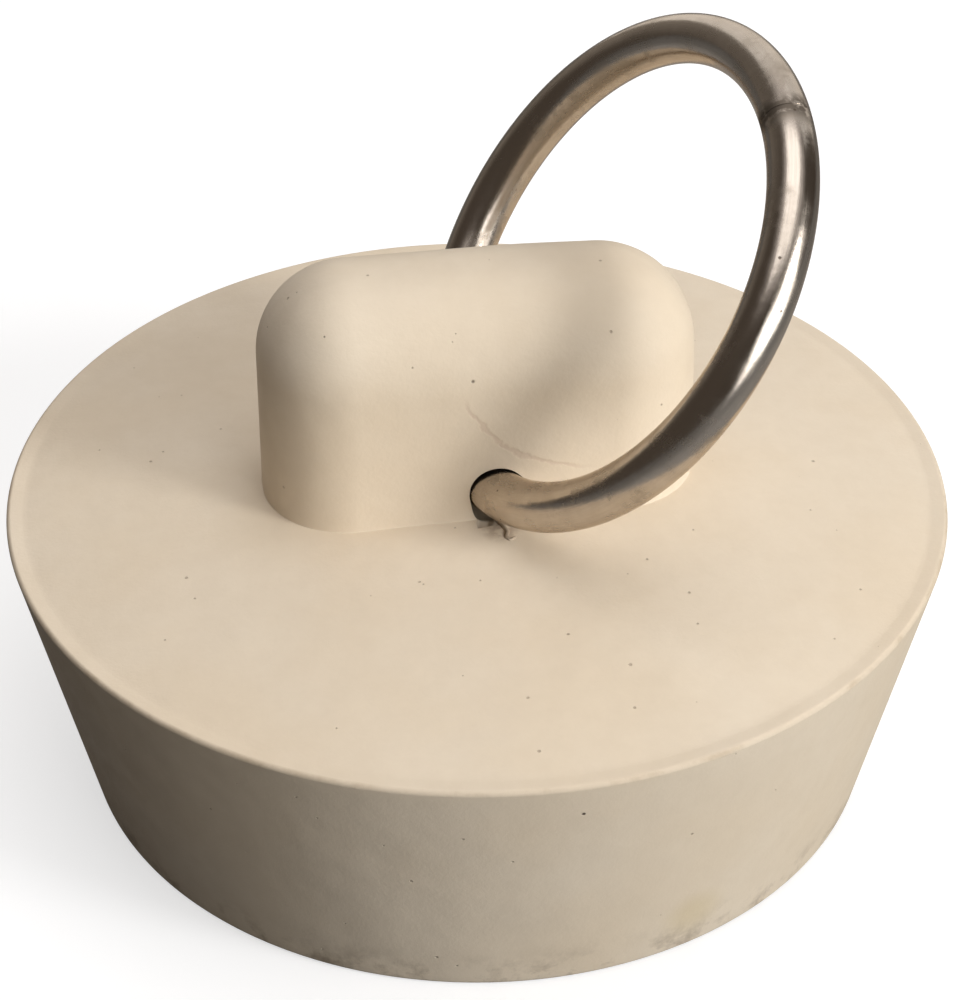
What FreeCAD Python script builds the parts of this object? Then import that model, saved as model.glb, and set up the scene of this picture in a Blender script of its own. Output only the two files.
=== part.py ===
"""Rubber drain stopper with a wire pull ring, in millimetres.

The origin is the centre of the flat underside, X runs along the lug, Y from front to back, Z up.
The ring stands in its photographed pose, leaning towards +X.
"""
import math
import os

import FreeCAD
import Part

# Plug body
rim_diameter = 47.8
bottom_diameter = 41.0
body_height = 15.2
top_edge_round = 0.2
bottom_edge_round = 0.4

# Top plate: a low dome inside a slightly raised lip
lip_width = 0.6
lip_height = 0.05
lip_run = 0.8
dome_rise = 1.4

# Lug, moulded in one with the plug
lug_length = 21.8
lug_thickness = 9.6
lug_height = 11.75
lug_round_share = 0.468

# Pull ring, bent from round wire with butted ends
wire_diameter = 2.5
ring_radius = 12.2
butt_gap = 0.1
butt_angle = 192.0

# Bore through the foot of the lug, a little askew, and the ring's rest pose in it
bore_offset = -0.2
bore_rise = 2.0
bore_skew = 7.0
bore_dip = 6.9
bore_clearance = 0.1
bore_overrun = 0.3
bore_straight_share = 0.4
ring_lean = 36.9

# Derived sizes
rim_radius = rim_diameter / 2
bottom_radius = bottom_diameter / 2
wire_radius = wire_diameter / 2
plate_edge = body_height - lip_height
plate_centre = plate_edge + dome_rise
lug_top = plate_centre + lug_height
lug_round = lug_round_share * lug_thickness
bore_tilt = math.acos(math.cos(math.radians(bore_skew)) * math.cos(math.radians(bore_dip)))
bore_half = lug_thickness / 2 / math.cos(bore_tilt)
chord_distance = math.sqrt(ring_radius ** 2 - bore_half ** 2)
ring_sag = ring_radius - chord_distance
bore_middle_radius = ring_sag + wire_radius + bore_clearance
bore_mouth_radius = wire_radius * ring_radius / chord_distance + bore_clearance


def bore_placement():
    """Placement whose Y axis is the bore axis, running to the back."""
    place = FreeCAD.Vector(bore_offset, 0, plate_centre + bore_rise)
    skew = FreeCAD.Rotation(FreeCAD.Vector(0, 0, 1), bore_skew)
    dip = FreeCAD.Rotation(FreeCAD.Vector(1, 0, 0), bore_dip)
    return FreeCAD.Placement(place, skew.multiply(dip))


def circles_at(shape, radius, height):
    """Level circular edges of one radius at one height."""
    rounds = [e for e in shape.Edges if not e.Degenerated and isinstance(e.Curve, Part.Circle)]
    level = [e for e in rounds if abs(e.Curve.Center.z - height) < 0.001]
    return [e for e in level if abs(e.Curve.Radius - radius) < 0.001]


def plug_body():
    """Tapered round body with the domed top and its lip."""
    lip_inner = rim_radius - lip_width
    plate_radius = lip_inner - lip_run
    corner = FreeCAD.Vector(0, 0, 0)
    bottom = FreeCAD.Vector(bottom_radius, 0, 0)
    rim = FreeCAD.Vector(rim_radius, 0, body_height)
    lip = FreeCAD.Vector(lip_inner, 0, body_height)
    plate = FreeCAD.Vector(plate_radius, 0, plate_edge)
    middle = FreeCAD.Vector(plate_radius / 2, 0, plate_edge + 0.75 * dome_rise)
    centre = FreeCAD.Vector(0, 0, plate_centre)
    edges = [
        Part.makeLine(corner, bottom),
        Part.makeLine(bottom, rim),
        Part.makeLine(rim, lip),
        Part.makeLine(lip, plate),
        Part.Arc(plate, middle, centre).toShape(),
        Part.makeLine(centre, corner),
    ]
    profile = Part.Face(Part.Wire(edges))
    body = profile.revolve(corner, FreeCAD.Vector(0, 0, 1), 360)
    body = body.makeFillet(top_edge_round, circles_at(body, rim_radius, body_height))
    return body.makeFillet(bottom_edge_round, circles_at(body, bottom_radius, 0))


def lug_bar():
    """Rounded bar that stands in the middle of the plate."""
    foot = plate_edge - 3
    block = Part.makeBox(lug_length, lug_thickness, lug_top - foot)
    block.translate(FreeCAD.Vector(-lug_length / 2, -lug_thickness / 2, foot))
    rounded = [e for e in block.Edges if e.BoundBox.ZMax > foot + 0.01]
    return block.makeFillet(lug_round, rounded)


def bore_core():
    """Core of the bore: straight in the middle, narrowing a little towards each mouth."""
    half = bore_half + bore_overrun
    straight = bore_straight_share * half
    front = FreeCAD.Vector(0, -half, 0)
    back = FreeCAD.Vector(0, half, 0)
    front_lip = FreeCAD.Vector(bore_mouth_radius, -half, 0)
    back_lip = FreeCAD.Vector(bore_mouth_radius, half, 0)
    front_turn = FreeCAD.Vector(bore_middle_radius, -straight, 0)
    back_turn = FreeCAD.Vector(bore_middle_radius, straight, 0)
    outline = [front, front_lip, front_turn, back_turn, back_lip, back, front]
    face = Part.Face(Part.makePolygon(outline))
    core = face.revolve(FreeCAD.Vector(0, 0, 0), FreeCAD.Vector(0, 1, 0), 360)
    core.Placement = bore_placement().multiply(core.Placement)
    return core


def rubber_plug():
    """Plug and lug as one moulding, with the bore for the ring."""
    return plug_body().fuse(lug_bar()).cut(bore_core())


def pull_ring():
    """Round wire bent to a ring, hanging in the bore and leaning to one side."""
    hub = FreeCAD.Vector(0, 0, 0)
    axis = FreeCAD.Vector(1, 0, 0)
    start = FreeCAD.Vector(0, 0, -ring_radius)
    section = Part.Face(Part.Wire(Part.makeCircle(wire_radius, start, FreeCAD.Vector(0, 1, 0))))
    gap = math.degrees(butt_gap / ring_radius)
    ring = section.revolve(hub, axis, 360 - gap)
    ring.rotate(hub, axis, butt_angle + gap / 2)
    ring.translate(FreeCAD.Vector(0, 0, chord_distance))
    ring.rotate(hub, FreeCAD.Vector(0, 1, 0), ring_lean)
    ring.Placement = bore_placement().multiply(ring.Placement)
    return ring


os.makedirs("parts", exist_ok=True)
rubber_plug().exportStep("parts/rubber_plug.step")
pull_ring().exportStep("parts/pull_ring.step")
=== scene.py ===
"""Drain stopper: an ivory rubber plug with a moulded lug, and the plated wire ring that pulls it out."""

import math

import bpy
import bmesh
import numpy as np
from mathutils import Matrix, Vector


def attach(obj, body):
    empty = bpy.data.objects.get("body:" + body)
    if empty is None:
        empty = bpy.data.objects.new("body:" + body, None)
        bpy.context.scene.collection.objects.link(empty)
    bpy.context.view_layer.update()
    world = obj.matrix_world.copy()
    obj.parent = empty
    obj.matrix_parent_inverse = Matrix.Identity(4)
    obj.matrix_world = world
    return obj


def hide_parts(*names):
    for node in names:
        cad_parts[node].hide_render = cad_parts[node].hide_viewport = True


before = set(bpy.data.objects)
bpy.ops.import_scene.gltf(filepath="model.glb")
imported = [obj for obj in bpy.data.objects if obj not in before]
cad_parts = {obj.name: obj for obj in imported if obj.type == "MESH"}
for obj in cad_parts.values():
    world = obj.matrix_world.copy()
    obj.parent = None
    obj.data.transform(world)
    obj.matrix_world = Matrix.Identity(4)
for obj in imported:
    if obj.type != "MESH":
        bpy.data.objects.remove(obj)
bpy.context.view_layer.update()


# Rubber plug
# The tapered plug, its low domed top with a thin lip, and the rounded lug are one moulding in ivory
# rubber. The hole for the ring runs through the foot of the lug, a little askew. Inside, it is painted dark
# brown: partly grime, partly painted shade in the recess.
MM = 0.001
rim_radius = 23.9
foot_radius = 20.5
body_height = 15.2
foot_round = 0.4
rim_round = 0.22
rim_top = 15.11
plate_radius = 22.95
dome_radius = 22.5
dome_edge = 15.15
dome_rise = 1.4
lug_half_length = 10.9
lug_half_thickness = 4.8
lug_round = 4.4928
lug_top = 28.3
lug_fillet = 0.04
slope_foot = 18.0
slope_start = 1.0
slope_length = 8.0
slope_drop = 0.25
slope_draw = 0.2
waviness = 0.0012
wave_size = 7.0
bore_point = np.array([-0.2, 0.0, 18.55])
bore_turn = Matrix.Rotation(math.radians(7.0), 3, "Z") @ Matrix.Rotation(math.radians(6.9), 3, "X")
bore_axes = np.array(bore_turn)
bore_steps = (2.07, 4.2, 4.87, 5.15)
bore_radii = (2.366, 1.67, 1.405, 1.52)
bore_end = 5.6
torn_from = 3.6
torn_run = 1.2
torn_turn = 4.2
torn_spread = 0.5
torn_depth = 0.35
ivory = (0.735, 0.635, 0.500)
ivory_warm = (0.715, 0.605, 0.460)
ivory_mottle = (0.60, 0.50, 0.38)
ivory_edge_shade = (0.53, 0.44, 0.33)
soil_brown = (0.16, 0.105, 0.062)
stain_yellow = (0.56, 0.44, 0.20)
speck_brown = (0.22, 0.15, 0.10)
tear_brown = (0.30, 0.20, 0.13)
hole_grime_and_shade = (0.15, 0.115, 0.072)
rim_brown = (0.34, 0.25, 0.15)
pit_dark = (0.11, 0.08, 0.06)
line_pink = (0.52, 0.36, 0.27)
stain_place = (7.6, -19.7, 2.7)
tear_place = (0.3, -5.7, 16.4)
side_pit = (1.29, -23.4, 13.1)
lug_pit = (-0.93, -4.8, 24.65)
line_centre = (5.05, 0, 26.0)
line_radius = 6.85


def grid_object(name, points, uv=None):
    """Object from a grid of points in millimetres, rows by columns.

    Quads join neighbouring rows and columns, the columns close into a loop, and points that fall together,
    as at a pole, are welded.
    """
    rows, columns = points.shape[:2]
    r = np.arange(rows - 1)[:, None]
    c = np.arange(columns)[None, :]
    d = (c + 1) % columns
    here, next_row = r * columns, (r + 1) * columns
    quads = np.stack([here + c, here + d, next_row + d, next_row + c], -1).reshape(-1, 4)
    mesh = bpy.data.meshes.new(name)
    mesh.vertices.add(rows * columns)
    mesh.vertices.foreach_set("co", (points * MM).astype(np.float32).ravel())
    mesh.loops.add(quads.size)
    mesh.loops.foreach_set("vertex_index", quads.astype(np.int32).ravel())
    mesh.polygons.add(len(quads))
    mesh.polygons.foreach_set("loop_start", np.arange(0, quads.size, 4, dtype=np.int32))
    if uv is not None:
        layer = mesh.uv_layers.new(name="along")
        low = np.tile(np.arange(columns), rows - 1)
        high = low + 1
        row = np.repeat(np.arange(rows - 1), columns)
        corners = np.stack([uv[row, low], uv[row, high], uv[row + 1, high], uv[row + 1, low]], 1)
        layer.data.foreach_set("uv", corners.astype(np.float32).ravel())
    mesh.update(calc_edges=True)
    work = bmesh.new()
    work.from_mesh(mesh)
    bmesh.ops.remove_doubles(work, verts=work.verts, dist=1e-7)
    bmesh.ops.recalc_face_normals(work, faces=work.faces)
    work.to_mesh(mesh)
    work.free()
    mesh.validate()
    piece = bpy.data.objects.new(name, mesh)
    bpy.context.scene.collection.objects.link(piece)
    return piece


def smooth(piece, degrees):
    """Smooth shading that stays sharp at edges steeper than an angle."""
    piece.data.polygons.foreach_set("use_smooth", np.ones(len(piece.data.polygons), bool))
    piece.data.set_sharp_from_angle(angle=math.radians(degrees))


def ripple(points, size, seed):
    """Slow unevenness between -1 and 1: the mean of seven sine waves of random direction."""
    chance = np.random.default_rng(seed)
    wave = chance.normal(size=(7, 3)) / size
    phase = chance.uniform(0, 2 * math.pi, 7)
    return np.sin(points @ wave.T + phase).mean(-1)


def arc(centre, radius, start, end, count):
    """Points of a circular arc in the radius and height plane, between two angles in degrees."""
    a = np.radians(np.linspace(start, end, count))
    return np.stack([centre[0] + radius * np.cos(a), centre[1] + radius * np.sin(a)], -1)


def dome(radius):
    """Height of the plate at a distance from the middle: a low parabola."""
    return dome_edge + dome_rise * (1 - radius ** 2 / dome_radius ** 2)


def plug_profile():
    """Outline of the round part as radius and height: underside, side, rim and lip, joined by arcs."""
    lean = math.atan2(rim_radius - foot_radius, body_height)
    turn = math.degrees(lean)

    def hub(height, size):
        return foot_radius + math.tan(lean) * height - size / math.cos(lean), height

    low = arc(hub(foot_round, foot_round), foot_round, -90, -turn, 9)
    high = arc(hub(rim_top - rim_round, rim_round), rim_round, -turn, 90, 15)
    under = np.stack([np.linspace(0, low[0, 0], 14)[:-1], np.zeros(13)], -1)
    side = np.linspace(low[-1], high[0], 44)[1:-1]
    s = np.linspace(0, 1, 7)[1:]
    lip_end = np.array([plate_radius, dome(plate_radius)])
    lip_start = np.array([high[-1, 0], rim_top])
    lip = lip_start + (lip_end - lip_start) * s[:, None]
    return np.concatenate([under, low, side, high, lip])


def lug_rays(count):
    """Skeleton of the lug's outline: for each step round it, a point on an inner rectangle and the way out.

    The outline at any size is the inner point plus a radius along the way out, which turns at the corners.
    """
    a = lug_half_length - lug_round
    b = lug_half_thickness - lug_round
    quarter = math.pi / 2 * lug_round
    runs = np.array([b, quarter, 2 * a, quarter, 2 * b, quarter, 2 * a, quarter, b])
    marks = np.concatenate([[0], np.cumsum(runs)])
    s = np.arange(count) / count * marks[-1]
    x = np.interp(s, marks, [a, a, a, -a, -a, -a, -a, a, a, a])
    y = np.interp(s, marks, [0, b, b, b, b, -b, -b, -b, -b, 0])
    turn = np.interp(s, marks, np.radians([0, 0, 90, 90, 180, 180, 270, 270, 360, 360]))
    return np.stack([x, y], -1), np.stack([np.cos(turn), np.sin(turn)], -1)


def plug_surface(count):
    """Closed skin of the plug, from the underside's middle over the rim and plate, up the lug to its top.

    Rings of the round profile come first. Then straight lines run in from the plate's edge to the lug's
    foot at the dome's height, a quarter round turns up into the wall, and another closes it over the top.
    """
    round_part = plug_profile()
    turn = np.arange(count) / count * 2 * math.pi
    way = np.stack([np.cos(turn), np.sin(turn)], -1)
    rings = np.concatenate([
        round_part[:, None, :1] * way[None],
        np.broadcast_to(round_part[:, None, 1:], (len(round_part), count, 1)),
    ], -1)
    inner, out = lug_rays(count)
    foot = inner + (lug_round + lug_fillet) * out
    w = (1 - (1 - np.linspace(0, 1, 58)[1:]) ** 1.15)[:, None, None]
    flat = plate_radius * way * (1 - w) + foot * w
    plate = np.concatenate([flat, dome(np.linalg.norm(flat, axis=-1))[..., None]], -1)
    q = np.radians(np.linspace(0, 90, 9)[1:])[:, None]
    reach = lug_round + lug_fillet * (1 - np.sin(q))
    lift = dome(np.linalg.norm(foot, axis=-1)) + lug_fillet * (1 - np.cos(q))
    fillet = np.concatenate([inner + reach[..., None] * out, lift[..., None]], -1)
    shoulder = lug_top - lug_round
    h = np.linspace(0, 1, 30)[1:, None]
    wall_xy = np.broadcast_to(inner + lug_round * out, (29, count, 2))
    wall_z = fillet[-1, :, 2] * (1 - h) + shoulder * h
    wall = np.concatenate([wall_xy, wall_z[..., None]], -1)
    q = np.radians(np.linspace(0, 90, 26)[1:])[:, None, None]
    over = np.concatenate([
        inner + lug_round * np.cos(q) * out,
        np.broadcast_to(shoulder + lug_round * np.sin(q), (25, count, 1)),
    ], -1)
    ridge = np.concatenate([inner * [1, 0], np.full((count, 1), lug_top)], -1)[None]
    return np.concatenate([rings, plate, fillet, wall, over, ridge])


def bore_surface(count):
    """Core of the hole: a round section along its axis, with a radius for each distance from the middle.

    It is narrower at the mouths, and a rippled bulge makes the lower edge of the front mouth ragged.
    """
    straight, _, mouth, flare = bore_steps
    middle = np.linspace(0, straight, 5)[1:]
    throat = np.linspace(straight, mouth, 18)[1:]
    half = np.concatenate([middle, throat, [5.0, flare, bore_end, bore_end]])
    along = np.concatenate([-half[::-1], [0], half])
    wide = np.interp(np.abs(along), bore_steps, bore_radii)
    wide[[0, -1]] = 0
    turn = np.arange(count) / count * 2 * math.pi
    ring = np.stack([np.cos(turn), np.zeros(count), np.sin(turn)], -1)
    place = ring[None] * wide[:, None, None] + np.array([0, 1, 0]) * along[:, None, None]
    torn = np.clip((-along - torn_from) / torn_run, 0, 1)[:, None]
    torn = torn * np.exp(-((turn - torn_turn) / torn_spread) ** 2)
    rough = 0.5 + 0.5 * ripple(place, 0.3, 11)
    bulge = torn * (torn_depth + torn_depth * rough) * (wide > 0)[:, None]
    place += ring[None] * bulge[..., None]
    return bore_point + place @ bore_axes.T


plug_points = plug_surface(432)
plug_points[:, :, :2] *= 1 - waviness * (1 + ripple(plug_points, wave_size, 3))[..., None]
lug_share = np.clip((plug_points[..., 2] - slope_foot) / (lug_top - slope_foot), 0, 1)
end_share = np.clip((plug_points[..., 0] - slope_start) / slope_length, 0, 1)
slope = lug_share * end_share ** 2 * (3 - 2 * end_share)
plug_points[..., 2] -= slope_drop * slope
plug_points[..., 0] -= slope_draw * slope
plug_blank = grid_object("plug_blank", plug_points)
bore_core = grid_object("bore_core", bore_surface(96))
cut = plug_blank.modifiers.new("pierced_hole", "BOOLEAN")
cut.operation = "DIFFERENCE"
cut.solver = "EXACT"
cut.object = bore_core
bpy.context.view_layer.update()
pierced = plug_blank.evaluated_get(bpy.context.evaluated_depsgraph_get())
plug_mesh = bpy.data.meshes.new_from_object(pierced)
plug_mesh.name = "rubber_plug_skin"
bpy.data.objects.remove(plug_blank)
bpy.data.objects.remove(bore_core)
plug = bpy.data.objects.new("rubber_plug_skin", plug_mesh)
bpy.context.scene.collection.objects.link(plug)
smooth(plug, 42)


def feed(tree, sockets, values):
    """Link or set each socket in turn; none leaves it as it is."""
    for socket, value in zip(sockets, values):
        if isinstance(value, bpy.types.NodeSocket):
            tree.links.new(value, socket)
        elif value is not None:
            socket.default_value = (*value, 1) if socket.type == "RGBA" else value


def calc(tree, how, a, b=None, c=None):
    """Math node on sockets or numbers; gives back its output."""
    made = tree.nodes.new("ShaderNodeMath")
    made.operation = how
    feed(tree, made.inputs, (a, b, c))
    return made.outputs[0]


def times(tree, *values):
    """Product of sockets and numbers, one multiply node after another."""
    product = values[0]
    for value in values[1:]:
        product = calc(tree, "MULTIPLY", product, value)
    return product


def arrow(tree, how, a, b=None, c=None):
    """Vector math node on sockets or triples; gives back its length or distance, or else its vector."""
    made = tree.nodes.new("ShaderNodeVectorMath")
    made.operation = how
    feed(tree, made.inputs, (a, b, c))
    return made.outputs["Value" if how in ("LENGTH", "DISTANCE") else "Vector"]


def fade(tree, value, low, high):
    """Smooth step that is 0 at low and 1 at high; the order of the two turns it round."""
    made = tree.nodes.new("ShaderNodeMapRange")
    made.interpolation_type = "SMOOTHSTEP"
    made.inputs["From Min"].default_value = low
    made.inputs["From Max"].default_value = high
    tree.links.new(value, made.inputs["Value"])
    return made.outputs["Result"]


def tint(tree, share, under, over):
    """Colour mix of two colours or sockets by a share."""
    made = tree.nodes.new("ShaderNodeMix")
    made.data_type = "RGBA"
    feed(tree, (made.inputs[0], made.inputs[6], made.inputs[7]), (share, under, over))
    return made.outputs[2]


def cloud(tree, where, size, detail=3.0, rough=0.55):
    """Cloudy noise with spots of about a given size in millimetres."""
    made = tree.nodes.new("ShaderNodeTexNoise")
    made.inputs["Scale"].default_value = 1 / (size * MM)
    made.inputs["Detail"].default_value = detail
    made.inputs["Roughness"].default_value = rough
    tree.links.new(where, made.inputs["Vector"])
    return made.outputs["Fac"]


def smudge_group():
    """Shared soiling: ragged patches and fine specks over a surface, from its own coordinates."""
    group = bpy.data.node_groups.new("soiling", "ShaderNodeTree")
    group.interface.new_socket("Where", in_out="INPUT", socket_type="NodeSocketVector")
    group.interface.new_socket("Cover", in_out="INPUT", socket_type="NodeSocketFloat")
    group.interface.new_socket("Patches", in_out="OUTPUT", socket_type="NodeSocketFloat")
    group.interface.new_socket("Specks", in_out="OUTPUT", socket_type="NodeSocketFloat")
    enter = group.nodes.new("NodeGroupInput")
    leave = group.nodes.new("NodeGroupOutput")
    broad = cloud(group, enter.outputs["Where"], 3.2, 6.0, 0.68)
    edge = calc(group, "SUBTRACT", 0.72, times(group, enter.outputs["Cover"], 0.4))
    over = times(group, calc(group, "SUBTRACT", broad, edge), 7.0)
    patches = group.nodes.new("ShaderNodeClamp")
    group.links.new(over, patches.inputs["Value"])
    cells = group.nodes.new("ShaderNodeTexVoronoi")
    cells.inputs["Scale"].default_value = 1 / (1.25 * MM)
    group.links.new(enter.outputs["Where"], cells.inputs["Vector"])
    chosen = group.nodes.new("ShaderNodeSeparateColor")
    group.links.new(cells.outputs["Color"], chosen.inputs["Color"])
    grain = times(group, chosen.outputs["Green"], 0.045)
    dot = calc(group, "SUBTRACT", calc(group, "ADD", grain, 0.035), cells.outputs["Distance"])
    some = calc(group, "GREATER_THAN", chosen.outputs["Red"], 0.45)
    specks = group.nodes.new("ShaderNodeClamp")
    group.links.new(times(group, dot, some, 40.0), specks.inputs["Value"])
    group.links.new(patches.outputs[0], leave.inputs["Patches"])
    group.links.new(specks.outputs[0], leave.inputs["Specks"])
    return group


soiling = smudge_group()


def spot(tree, where, centre, near, far):
    """Round soft spot about a point in millimetres: 1 inside the near radius, 0 past the far one."""
    away = arrow(tree, "DISTANCE", where, tuple(c * MM for c in centre))
    return fade(tree, away, far * MM, near * MM)


def rubber_finish(name, soiled):
    """Matt ivory rubber: cloudy tone, tiny dark pits, brown soil along the foot and a faint line on the lug.

    A share of brown soil can lie over all of it.
    """
    material = bpy.data.materials.new(name)
    material.use_nodes = True
    tree = material.node_tree
    shader = tree.nodes["Principled BSDF"]
    where = tree.nodes.new("ShaderNodeTexCoord").outputs["Object"]
    split = tree.nodes.new("ShaderNodeSeparateXYZ")
    tree.links.new(where, split.inputs[0])
    x, y, z = split.outputs
    soil = tree.nodes.new("ShaderNodeGroup")
    soil.node_tree = soiling
    soil.inputs["Cover"].default_value = 0.55
    tree.links.new(where, soil.inputs["Where"])

    tone = fade(tree, cloud(tree, where, 11.0, 4.0), 0.32, 0.70)
    colour = tint(tree, tone, ivory, ivory_warm)
    fine = fade(tree, cloud(tree, where, 1.1, 5.0, 0.65), 0.30, 0.72)
    colour = tint(tree, times(tree, fine, 0.12), colour, ivory_mottle)
    low = fade(tree, z, 3.2 * MM, 0.0)
    grime = times(tree, low, soil.outputs["Patches"], 0.55)
    colour = tint(tree, grime, colour, soil_brown)
    stain = spot(tree, where, stain_place, 0.3, 2.2)
    colour = tint(tree, times(tree, stain, 0.30), colour, stain_yellow)
    colour = tint(tree, times(tree, soil.outputs["Specks"], 0.45), colour, speck_brown)
    ragged = fade(tree, cloud(tree, where, 0.5, 4.0), 0.35, 0.6)
    tear = times(tree, spot(tree, where, tear_place, 0.35, 1.3), ragged)
    colour = tint(tree, times(tree, tear, 0.5), colour, tear_brown)

    # Inside the hole the rubber is painted dark brown: partly grime, partly painted shade in the recess.
    from_bore = arrow(tree, "SUBTRACT", where, tuple(bore_point * MM))
    off_axis = arrow(tree, "LENGTH", arrow(tree, "CROSS_PRODUCT", from_bore, tuple(bore_axes[:, 1])))
    within_lug = fade(tree, calc(tree, "ABSOLUTE", y), 4.80 * MM, 4.62 * MM)
    inside = times(tree, fade(tree, off_axis, 3.2 * MM, 2.8 * MM), within_lug)
    colour = tint(tree, times(tree, inside, 0.85), colour, hole_grime_and_shade)

    # The outermost rounded edge of the rim is painted a duller, darker ivory: painted shade that dulls the
    # bright line the edge catches. Patches of brown soil lie on it as well.
    reach = calc(tree, "SQRT", calc(tree, "ADD", times(tree, x, x), times(tree, y, y)))
    outermost = fade(tree, reach, 23.55 * MM, 23.75 * MM)
    rim_band = times(tree, fade(tree, z, 14.75 * MM, 15.05 * MM), outermost)
    colour = tint(tree, times(tree, rim_band, 0.55), colour, ivory_edge_shade)
    rim_soil = times(tree, rim_band, soil.outputs["Patches"], 0.4)
    colour = tint(tree, rim_soil, colour, rim_brown)
    on_side = spot(tree, where, side_pit, 0.04, 0.13)
    pits = calc(tree, "MAXIMUM", on_side, spot(tree, where, lug_pit, 0.06, 0.15))
    colour = tint(tree, pits, colour, pit_dark)

    from_centre = arrow(tree, "MULTIPLY_ADD", where, (1, 0, 1), tuple(-c * MM for c in line_centre))
    uneven = calc(tree, "SUBTRACT", cloud(tree, where, 0.9, 3.0), 0.5)
    bent = calc(tree, "ADD", arrow(tree, "LENGTH", from_centre), times(tree, uneven, 0.7 * MM))
    off_line = calc(tree, "ABSOLUTE", calc(tree, "SUBTRACT", bent, line_radius * MM))
    on_front = fade(tree, y, -4.3 * MM, -4.6 * MM)
    line_end = fade(tree, x, 5.6 * MM, 3.2 * MM)
    line_start = fade(tree, z, 24.0 * MM, 22.6 * MM)
    line = times(tree, fade(tree, off_line, 0.16 * MM, 0.03 * MM), on_front, line_end, line_start)
    colour = tint(tree, times(tree, line, 0.30), colour, line_pink)
    tree.links.new(tint(tree, soiled, colour, soil_brown), shader.inputs["Base Color"])

    gloss = calc(tree, "ADD", 0.66, times(tree, fine, 0.16))
    gloss = calc(tree, "ADD", gloss, times(tree, grime, 0.2))
    tree.links.new(gloss, shader.inputs["Roughness"])
    shader.inputs["Specular IOR Level"].default_value = 0.3

    grain = times(tree, cloud(tree, where, 0.22, 3.0, 0.6), 0.012)
    wave = times(tree, cloud(tree, where, 3.6, 2.0, 0.5), 0.10)
    height = calc(tree, "ADD", grain, wave)
    height = calc(tree, "SUBTRACT", height, times(tree, soil.outputs["Specks"], 0.035))
    height = calc(tree, "SUBTRACT", height, times(tree, pits, 0.06))
    height = calc(tree, "SUBTRACT", height, times(tree, line, 0.012))
    relief = tree.nodes.new("ShaderNodeBump")
    relief.inputs["Strength"].default_value = 1.0
    relief.inputs["Distance"].default_value = MM
    tree.links.new(height, relief.inputs["Height"])
    tree.links.new(relief.outputs["Normal"], shader.inputs["Normal"])
    return material


plug.data.materials.clear()
plug.data.materials.append(rubber_finish("ivory_rubber", 0.0))
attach(plug, "plug")
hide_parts("rubber_plug")


# Torn crumb
# Where the wire has worn the lower lip of the hole, a small crumb of the same rubber has torn loose.
# It still hangs on the lip and lies on the plate in front of the lug.
crumb_path = np.array([
    [0.20, -4.72, 16.40], [0.36, -5.35, 16.45], [0.58, -5.90, 16.46],
    [0.46, -6.38, 16.44], [0.62, -6.60, 16.43], [0.98, -6.40, 16.43],
])
crumb_radius = np.array([0.17, 0.10, 0.13, 0.12, 0.11, 0.06])


def crumb_surface(rows, columns):
    """Lumpy strand: a flattened round section of changing radius carried along a bent path.

    The path's corners are smoothed by a running mean, both ends close to a point, and the skin is rippled.
    """
    s = np.linspace(0, 1, rows)
    knots = np.linspace(0, 1, len(crumb_path))
    path = np.stack([np.interp(s, knots, crumb_path[:, k]) for k in range(3)], -1)
    padded = np.pad(path, ((3, 3), (0, 0)), mode="edge")
    path = np.stack([np.convolve(padded[:, k], np.ones(7) / 7, "valid") for k in range(3)], -1)
    radius = np.interp(s, knots, crumb_radius) * np.sqrt(np.clip(1 - (2 * s - 1) ** 8, 0, 1))
    along = np.gradient(path, axis=0)
    along /= np.linalg.norm(along, axis=1, keepdims=True)
    side = np.cross(along, [0, 0, 1])
    side /= np.linalg.norm(side, axis=1, keepdims=True)
    rise = np.cross(side, along)
    turn = np.arange(columns) / columns * 2 * math.pi
    spoke = side[:, None] * np.cos(turn)[:, None] + 0.7 * rise[:, None] * np.sin(turn)[:, None]
    lump = 1 + 0.45 * ripple(path[:, None] + 0.4 * spoke, 0.17, 23)
    return path[:, None] + spoke * (radius[:, None] * lump)[..., None]


crumb = grid_object("torn_crumb", crumb_surface(72, 24))
smooth(crumb, 80)
crumb.data.materials.append(rubber_finish("soiled_rubber", 0.45))
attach(crumb, "plug")


# Pull ring
# A ring bent from drawn steel wire, nickel-plated and dulled by use, its two ends butted. It is threaded
# through the hole in the lug and swings there.
wire_radius = 1.235
ring_radius = 12.2
ring_drop = 1.014
ring_lean = math.radians(36.9)
butt_angle = math.radians(192.0)
butt_gap = 0.006
end_round = 0.015
butt_step = 0.006
butt_shift = 0.008
out_of_round = 0.03
out_of_flat = 0.04
hole_shift = 0.14
nickel = (0.58, 0.515, 0.445)
nickel_dull = (0.42, 0.36, 0.295)
drawn_grey = (0.30, 0.26, 0.22)
tarnish_brown = (0.20, 0.145, 0.095)
fleck_dark = (0.10, 0.07, 0.05)
butt_dark = (0.10, 0.08, 0.06)


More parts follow.
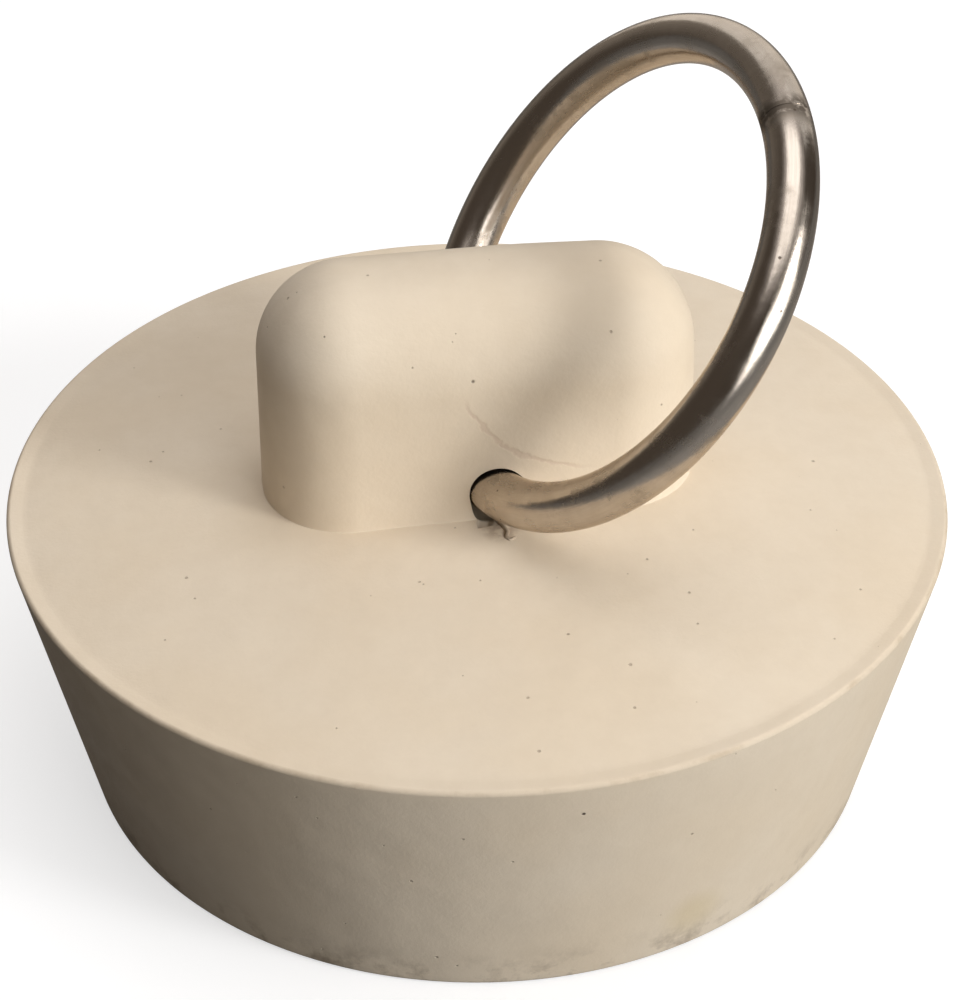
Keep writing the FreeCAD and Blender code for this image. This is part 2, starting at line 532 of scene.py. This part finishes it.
def ring_surface(rows, columns):
    """Round section carried along a slightly uneven circle, from one butted end to the other.

    Row by row the path turns once round from the butt joint, and the first and last rows round off the
    section and shrink it to a point in a flat end face. The ring is then leaned and set in the hole.
    """
    half = butt_gap / 2 / ring_radius
    trim = end_round / ring_radius
    quarter = np.radians(np.linspace(0, 90, 6))
    start = half + trim * (1 - np.sin(quarter))
    cap = wire_radius - end_round * (1 - np.cos(quarter))
    body = np.linspace(half + trim, 2 * math.pi - half - trim, rows)
    turn = np.concatenate([[half], start[::-1], body[1:-1], 2 * math.pi - start, [2 * math.pi - half]])
    size = np.concatenate([[0], cap[::-1], np.full(rows - 2, wire_radius), cap, [0]])
    angle = butt_angle + turn
    near_end = np.exp(-turn * ring_radius / 2.0) - np.exp(-(2 * math.pi - turn) * ring_radius / 2.0)
    away = (1 - np.cos(angle)) / 2
    bend = ring_radius + out_of_round * np.sin(3 * angle + 0.6) * away - butt_step * near_end
    skew = out_of_flat * np.sin(2 * angle + 1.1) * away + butt_shift * near_end
    skew -= hole_shift * np.exp(-(np.sin((angle + 0.26) / 2) / 0.34) ** 2)
    out = np.stack([np.zeros_like(angle), np.sin(angle), -np.cos(angle)], -1)
    flank = np.array([1.0, 0, 0])
    around = np.arange(columns) / columns * 2 * math.pi
    spoke = out[:, None] * np.cos(around)[:, None] + flank * np.sin(around)[:, None]
    place = (bend[:, None] * out + skew[:, None] * flank)[:, None] + size[:, None, None] * spoke
    place += [0, 0, ring_radius - ring_drop]
    lean = np.array(Matrix.Rotation(ring_lean, 3, "Y"))
    round_wire = np.arange(columns + 1) / columns * 2 * math.pi * wire_radius
    uv = np.stack(np.broadcast_arrays((turn * ring_radius)[:, None], round_wire[None]), -1) * MM
    return bore_point + place @ lean.T @ bore_axes.T, uv


def wire_finish():
    """Nickel plate on drawn wire: fine lines along it, cloudy dulling, brown specks, a smudge at the butt."""
    material = bpy.data.materials.new("plated_wire")
    material.use_nodes = True
    tree = material.node_tree
    shader = tree.nodes["Principled BSDF"]
    shader.inputs["Metallic"].default_value = 1.0
    shader.inputs["Specular Tint"].default_value = (0.95, 0.88, 0.80, 1)
    points = tree.nodes.new("ShaderNodeTexCoord")
    where = points.outputs["Object"]
    soil = tree.nodes.new("ShaderNodeGroup")
    soil.node_tree = soiling
    soil.inputs["Cover"].default_value = 0.42
    tree.links.new(where, soil.inputs["Where"])
    stretch = tree.nodes.new("ShaderNodeMapping")
    stretch.inputs["Scale"].default_value = (0.035, 1, 1)
    tree.links.new(points.outputs["UV"], stretch.inputs["Vector"])
    drawn = cloud(tree, stretch.outputs[0], 0.09, 4.0, 0.7)
    lines = fade(tree, drawn, 0.35, 0.68)
    dull = fade(tree, cloud(tree, where, 2.6, 5.0, 0.62), 0.36, 0.72)
    colour = tint(tree, times(tree, dull, 0.55), nickel, nickel_dull)
    colour = tint(tree, times(tree, lines, 0.16), colour, drawn_grey)
    colour = tint(tree, times(tree, soil.outputs["Patches"], 0.45), colour, tarnish_brown)
    colour = tint(tree, times(tree, soil.outputs["Specks"], 0.8), colour, fleck_dark)
    along = tree.nodes.new("ShaderNodeSeparateXYZ")
    tree.links.new(points.outputs["UV"], along.inputs[0])
    length = 2 * math.pi * ring_radius * MM
    one_end = fade(tree, along.outputs["X"], 1.3 * MM, 0.2 * MM)
    other_end = fade(tree, along.outputs["X"], length - 0.9 * MM, length - 0.1 * MM)
    butt = calc(tree, "MAXIMUM", one_end, other_end)
    butt = times(tree, butt, fade(tree, cloud(tree, where, 0.7, 4.0), 0.36, 0.52))
    colour = tint(tree, times(tree, butt, 0.85), colour, butt_dark)
    tree.links.new(colour, shader.inputs["Base Color"])
    gloss = calc(tree, "ADD", 0.16, times(tree, dull, 0.12))
    gloss = calc(tree, "ADD", gloss, times(tree, soil.outputs["Patches"], 0.20))
    gloss = calc(tree, "ADD", gloss, times(tree, butt, 0.25))
    gloss = calc(tree, "ADD", gloss, times(tree, lines, 0.05))
    tree.links.new(gloss, shader.inputs["Roughness"])
    height = times(tree, drawn, 0.004)
    height = calc(tree, "ADD", height, times(tree, cloud(tree, where, 0.8, 2.0), 0.012))
    height = calc(tree, "SUBTRACT", height, times(tree, soil.outputs["Specks"], 0.008))
    relief = tree.nodes.new("ShaderNodeBump")
    relief.inputs["Strength"].default_value = 0.8
    relief.inputs["Distance"].default_value = MM
    tree.links.new(height, relief.inputs["Height"])
    tree.links.new(relief.outputs["Normal"], shader.inputs["Normal"])
    return material


ring_points, ring_uv = ring_surface(420, 56)
ring = grid_object("pull_ring_wire", ring_points, uv=ring_uv)
smooth(ring, 50)
ring.data.materials.append(wire_finish())
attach(ring, "ring")
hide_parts("pull_ring")


# Floor
# A wide pale sheet under the stopper. It shows white to the eye and faintly in the metal, keeps the
# stopper's shadow, and throws little light back.
sheet_thrown = (0.06, 0.06, 0.06)
sheet_seen = (0.50, 0.50, 0.50)
floor_mesh = bpy.data.meshes.new("floor")
floor_mesh.from_pydata([(-6, -6, 0), (6, -6, 0), (6, 6, 0), (-6, 6, 0)], [], [(0, 1, 2, 3)])
floor = bpy.data.objects.new("floor", floor_mesh)
bpy.context.scene.collection.objects.link(floor)
paper = bpy.data.materials.new("pale_sheet")
paper.use_nodes = True
sheet = paper.node_tree
sheet.nodes.clear()
seen = sheet.nodes.new("ShaderNodeLightPath")
spread = arrow(sheet, "LENGTH", sheet.nodes.new("ShaderNodeTexCoord").outputs["Object"])
near = fade(sheet, spread, 0.10, 0.05)
mirrored = calc(sheet, "MAXIMUM", seen.outputs["Is Glossy Ray"], seen.outputs["Is Transmission Ray"])
faint = times(sheet, mirrored, calc(sheet, "MULTIPLY_ADD", near, 0.14, 0.12))
eye = calc(sheet, "MAXIMUM", seen.outputs["Is Camera Ray"], faint)
shade = sheet.nodes.new("ShaderNodeBsdfDiffuse")
sheet.links.new(tint(sheet, eye, sheet_thrown, sheet_seen), shade.inputs["Color"])
glow = sheet.nodes.new("ShaderNodeEmission")
sheet.links.new(times(sheet, eye, 0.60), glow.inputs["Strength"])
both = sheet.nodes.new("ShaderNodeAddShader")
sheet.links.new(shade.outputs[0], both.inputs[0])
sheet.links.new(glow.outputs[0], both.inputs[1])
sheet.links.new(both.outputs[0], sheet.nodes.new("ShaderNodeOutputMaterial").inputs["Surface"])
floor_mesh.materials.append(paper)


# Camera
# Long lens from the front, a little to the left of the lug and well above it.
lens = bpy.data.cameras.new("camera")
lens.sensor_fit = "VERTICAL"
lens.sensor_height = 36.0
lens.lens = 115.2
lens.clip_start = 0.005
camera = bpy.data.objects.new("camera", lens)
camera.location = (-0.02009, -0.1309, 0.10973)
camera.rotation_euler = (math.radians(54.19), 0, math.radians(-8.8))
bpy.context.scene.collection.objects.link(camera)
bpy.context.scene.camera = camera


# Light
# A small soft box on the right throws the ring's shadow, a wide low one beside it lights the side, and
# two weaker ones stand behind and overhead. The room is dim, paler on the left, behind and overhead.
camera_bearing = -98.8
lamp_distance = 0.5
lamp_aim = Vector((0, 0, 0.016))
room_dim = (0.062, 0.050, 0.040)
room_left = (0.083, 0.068, 0.056)
room_behind = (0.27, 0.245, 0.22)
room_overhead = (0.78, 0.74, 0.735)
room_seen = (1.0, 1.0, 1.0)


def soft_box(name, turn, rise, wide, tall, level):
    """Flat lamp that faces the stopper.

    Turn is in degrees to the right of the camera and rise in degrees above the floor. Level is about what a
    white surface that faces the lamp shows.
    """
    a = math.radians(turn + camera_bearing)
    e = math.radians(rise)
    toward = Vector((math.cos(a) * math.cos(e), math.sin(a) * math.cos(e), math.sin(e)))
    lamp = bpy.data.lights.new(name, "AREA")
    lamp.shape = "RECTANGLE"
    lamp.size = wide
    lamp.size_y = tall
    lamp.energy = level * math.pi ** 2 * lamp_distance ** 2
    made = bpy.data.objects.new(name, lamp)
    made.location = lamp_aim + toward * lamp_distance
    made.rotation_euler = toward.to_track_quat("Z", "Y").to_euler()
    bpy.context.scene.collection.objects.link(made)


soft_box("key_box", 58, 28, 0.11, 0.11, 0.41)
soft_box("side_box", 48, 16, 0.52, 0.34, 0.80)
soft_box("back_box", 167, 28, 0.75, 0.55, 0.39)
soft_box("top_box", 0, 84, 0.42, 0.42, 0.27)
room = bpy.data.worlds.new("room")
bpy.context.scene.world = room
room.use_nodes = True
sky = room.node_tree
direction = sky.nodes.new("ShaderNodeTexCoord")
facing = sky.nodes.new("ShaderNodeSeparateXYZ")
sky.links.new(direction.outputs["Generated"], facing.inputs[0])
overhead = fade(sky, facing.outputs["Z"], 0.70, 0.95)
behind = fade(sky, facing.outputs["Y"], 0.30, 1.00)
beside = fade(sky, facing.outputs["X"], 0.0, -0.8)
walls = tint(sky, behind, tint(sky, beside, room_dim, room_left), room_behind)
lit = tint(sky, overhead, walls, room_overhead)
looked_at = sky.nodes.new("ShaderNodeLightPath").outputs["Is Camera Ray"]
sky.links.new(tint(sky, looked_at, lit, room_seen), sky.nodes["Background"].inputs["Color"])
bpy.context.scene.view_settings.view_transform = "Standard"
